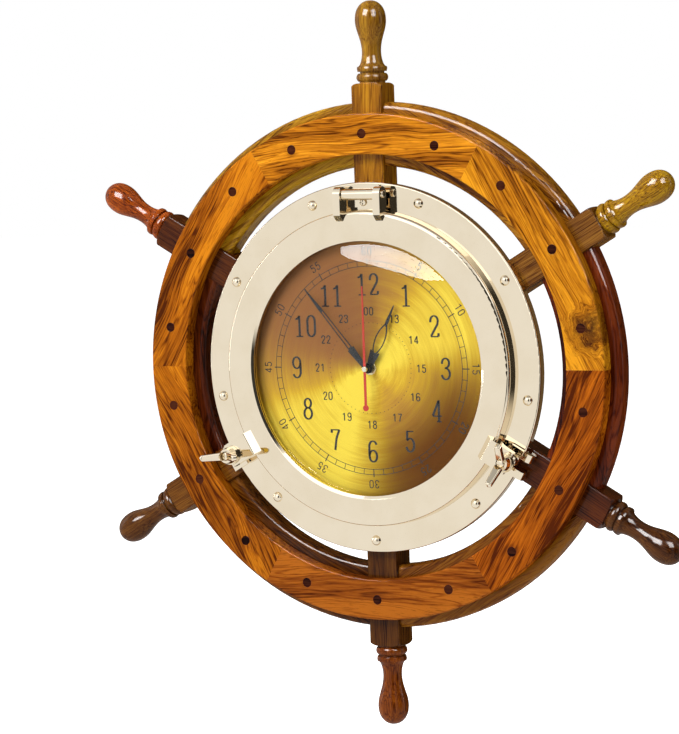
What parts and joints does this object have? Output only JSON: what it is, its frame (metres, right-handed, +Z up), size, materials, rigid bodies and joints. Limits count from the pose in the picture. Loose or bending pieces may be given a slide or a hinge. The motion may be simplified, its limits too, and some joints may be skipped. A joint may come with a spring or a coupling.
{
  "type": "ship's wheel wall clock",
  "caption": "Ship's-wheel wall clock: varnished wooden wheel with turned handles around a polished porthole that opens over a brushed brass quartz dial.",
  "frame": {"origin": "on the wheel's axis, in the wall plane that the back of the rim rests on", "axes": "+Z up to 12 o'clock, -Y out of the wall towards the viewer, +X to the viewer's right"},
  "size_m": [0.5316, 0.0858, 0.61],
  "materials": {
    "spoke_wood": "satin varnish over brown hardwood",
    "facing_wood": "gloss varnish over golden to red-brown hardwood with strong grain",
    "felloe_wood": "gloss varnish, red-brown",
    "dark_wood": "dark hardwood, varnished",
    "board_wood": "plain board, unvarnished",
    "polished_brass": "mirror polished, pale champagne colour",
    "glass": "clear",
    "rubber": "matt black",
    "dial_brass": "spun brushed and lacquered",
    "black_metal": "satin black",
    "red_metal": "satin red",
    "plated_brass": "plated",
    "steel": "plain",
    "movement_plastic": "moulded black",
    "gear_plastic": "moulded natural white",
    "copper_wire": "enamelled copper wire",
    "circuit": "green solder mask",
    "battery_sleeve": "printed foil"
  },
  "bodies": {
    "clock": {"spoke_top": "spoke_wood", "spoke_upper_right": "spoke_wood", "spoke_lower_right": "spoke_wood", "spoke_bottom": "spoke_wood", "spoke_lower_left": "spoke_wood", "spoke_upper_left": "spoke_wood", "front_facing_top": "facing_wood", "front_facing_upper_right": "facing_wood", "front_facing_lower_right": "facing_wood", "front_facing_bottom": "facing_wood", "front_facing_lower_left": "facing_wood", "front_facing_upper_left": "facing_wood", "back_facing_segments": "facing_wood", "felloe_segments": "felloe_wood", "wheel_dowels": "dark_wood", "dial_board": "board_wood", "flange": "polished_brass", "flange_rivets": "polished_brass", "flange_screws": "polished_brass", "bolt_pivot_pins": "polished_brass", "hinge_bracket": "polished_brass", "hinge_screw": "polished_brass", "shaft_washer": "rubber", "dial_plate": "dial_brass", "shaft_bushing": "plated_brass", "shaft_nut": "plated_brass", "hanger_plate": "plated_brass", "hanger_screws": "steel", "board_screws": "steel", "battery_contacts": "steel", "stator": "steel", "movement_case": "movement_plastic", "movement_cover": "movement_plastic", "coil": "copper_wire", "circuit_board": "circuit", "battery": "battery_sleeve"},
    "door": {"door_frame": "polished_brass", "door_glass": "glass", "glass_seal": "rubber", "glass_retainer": "polished_brass", "door_gasket": "rubber", "hinge_pin": "polished_brass"},
    "bolt_left": {"swing_bolt_left": "polished_brass"},
    "washer_left": {"latch_washer_left": "polished_brass"},
    "nut_left": {"wing_nut_left": "polished_brass"},
    "bolt_right": {"swing_bolt_right": "polished_brass"},
    "washer_right": {"latch_washer_right": "polished_brass"},
    "nut_right": {"wing_nut_right": "polished_brass"},
    "minute_set": {"minute_hand": "black_metal", "minute_arbor": "gear_plastic"},
    "hour_set": {"hour_hand": "black_metal", "hour_wheel": "gear_plastic"},
    "second_set": {"second_hand": "red_metal", "seconds_wheel": "gear_plastic"},
    "setting_set": {"setting_knob": "movement_plastic", "minute_wheel": "gear_plastic"},
    "centre_gear": {"centre_wheel": "gear_plastic"},
    "third_gear": {"third_wheel": "gear_plastic"},
    "intermediate_gear": {"intermediate_wheel": "gear_plastic"},
    "rotor_gear": {"rotor": "steel"}
  },
  "joints": [
    {"name": "door_hinge", "type": "hinge", "parent": "clock", "child": "door", "pos_m": [0, -0.0545, 0.145], "axis": [-1, 0, 0], "range_deg": [0, 170]},
    {"name": "bolt_swing_right", "type": "hinge", "parent": "clock", "child": "bolt_right", "pos_m": [0.12817, -0.0405, -0.074], "axis": [0.5, 0, 0.866], "range_deg": [0, 55]},
    {"name": "nut_travel_right", "type": "slide", "parent": "bolt_right", "child": "washer_right", "axis": [0, -1, 0], "range_m": [0, 0.005]},
    {"name": "nut_turn_right", "type": "hinge", "parent": "washer_right", "child": "nut_right", "pos_m": [0.12817, -0.065, -0.074], "axis": [0, -1, 0], "range_deg": [0, 1441]},
    {"name": "bolt_swing_left", "type": "hinge", "parent": "clock", "child": "bolt_left", "pos_m": [-0.12817, -0.0405, -0.074], "axis": [0.5, 0, -0.866], "range_deg": [0, 35]},
    {"name": "nut_travel_left", "type": "slide", "parent": "bolt_left", "child": "washer_left", "axis": [0, -1, 0], "range_m": [0, 0.005]},
    {"name": "nut_turn_left", "type": "hinge", "parent": "washer_left", "child": "nut_left", "pos_m": [-0.12817, -0.065, -0.074], "axis": [0, -1, 0], "range_deg": [0, 1441]},
    {"name": "minute_hand_turn", "type": "hinge", "parent": "clock", "child": "minute_set", "pos_m": [0, -0.052, 0], "axis": [0, 1, 0], "continuous": true},
    {"name": "hour_hand_turn", "type": "hinge", "parent": "clock", "child": "hour_set", "pos_m": [0, -0.048, 0], "axis": [0, 1, 0], "continuous": true},
    {"name": "setting_knob_turn", "type": "hinge", "parent": "clock", "child": "setting_set", "pos_m": [-0.008, -0.02, 0], "axis": [0, 1, 0], "continuous": true},
    {"name": "second_hand_turn", "type": "hinge", "parent": "clock", "child": "second_set", "pos_m": [0, -0.055, 0], "axis": [0, 1, 0], "continuous": true},
    {"name": "intermediate_turn", "type": "hinge", "parent": "clock", "child": "intermediate_gear", "pos_m": [0.00624, -0.023, -0.0036], "axis": [0, 1, 0], "continuous": true},
    {"name": "rotor_turn", "type": "hinge", "parent": "clock", "child": "rotor_gear", "pos_m": [0.0123, -0.024, -0.00467], "axis": [0, 1, 0], "continuous": true},
    {"name": "third_turn", "type": "hinge", "parent": "clock", "child": "third_gear", "pos_m": [0.0036, -0.026, 0.00624], "axis": [0, 1, 0], "continuous": true},
    {"name": "centre_turn", "type": "hinge", "parent": "clock", "child": "centre_gear", "pos_m": [0, -0.028, 0], "axis": [0, 1, 0], "continuous": true}
  ],
  "couplings": [
    {"joint": "nut_turn_right", "follows": "nut_travel_right", "rad_per_m": 5026.5},
    {"joint": "nut_turn_left", "follows": "nut_travel_left", "rad_per_m": 5026.5},
    {"joint": "hour_hand_turn", "follows": "minute_hand_turn", "ratio": 0.083333},
    {"joint": "setting_knob_turn", "follows": "minute_hand_turn", "ratio": -0.33333},
    {"joint": "intermediate_turn", "follows": "second_hand_turn", "ratio": -5},
    {"joint": "rotor_turn", "follows": "second_hand_turn", "ratio": 30},
    {"joint": "third_turn", "follows": "second_hand_turn", "ratio": -0.13333},
    {"joint": "centre_turn", "follows": "second_hand_turn", "ratio": 0.016667}
  ]
}
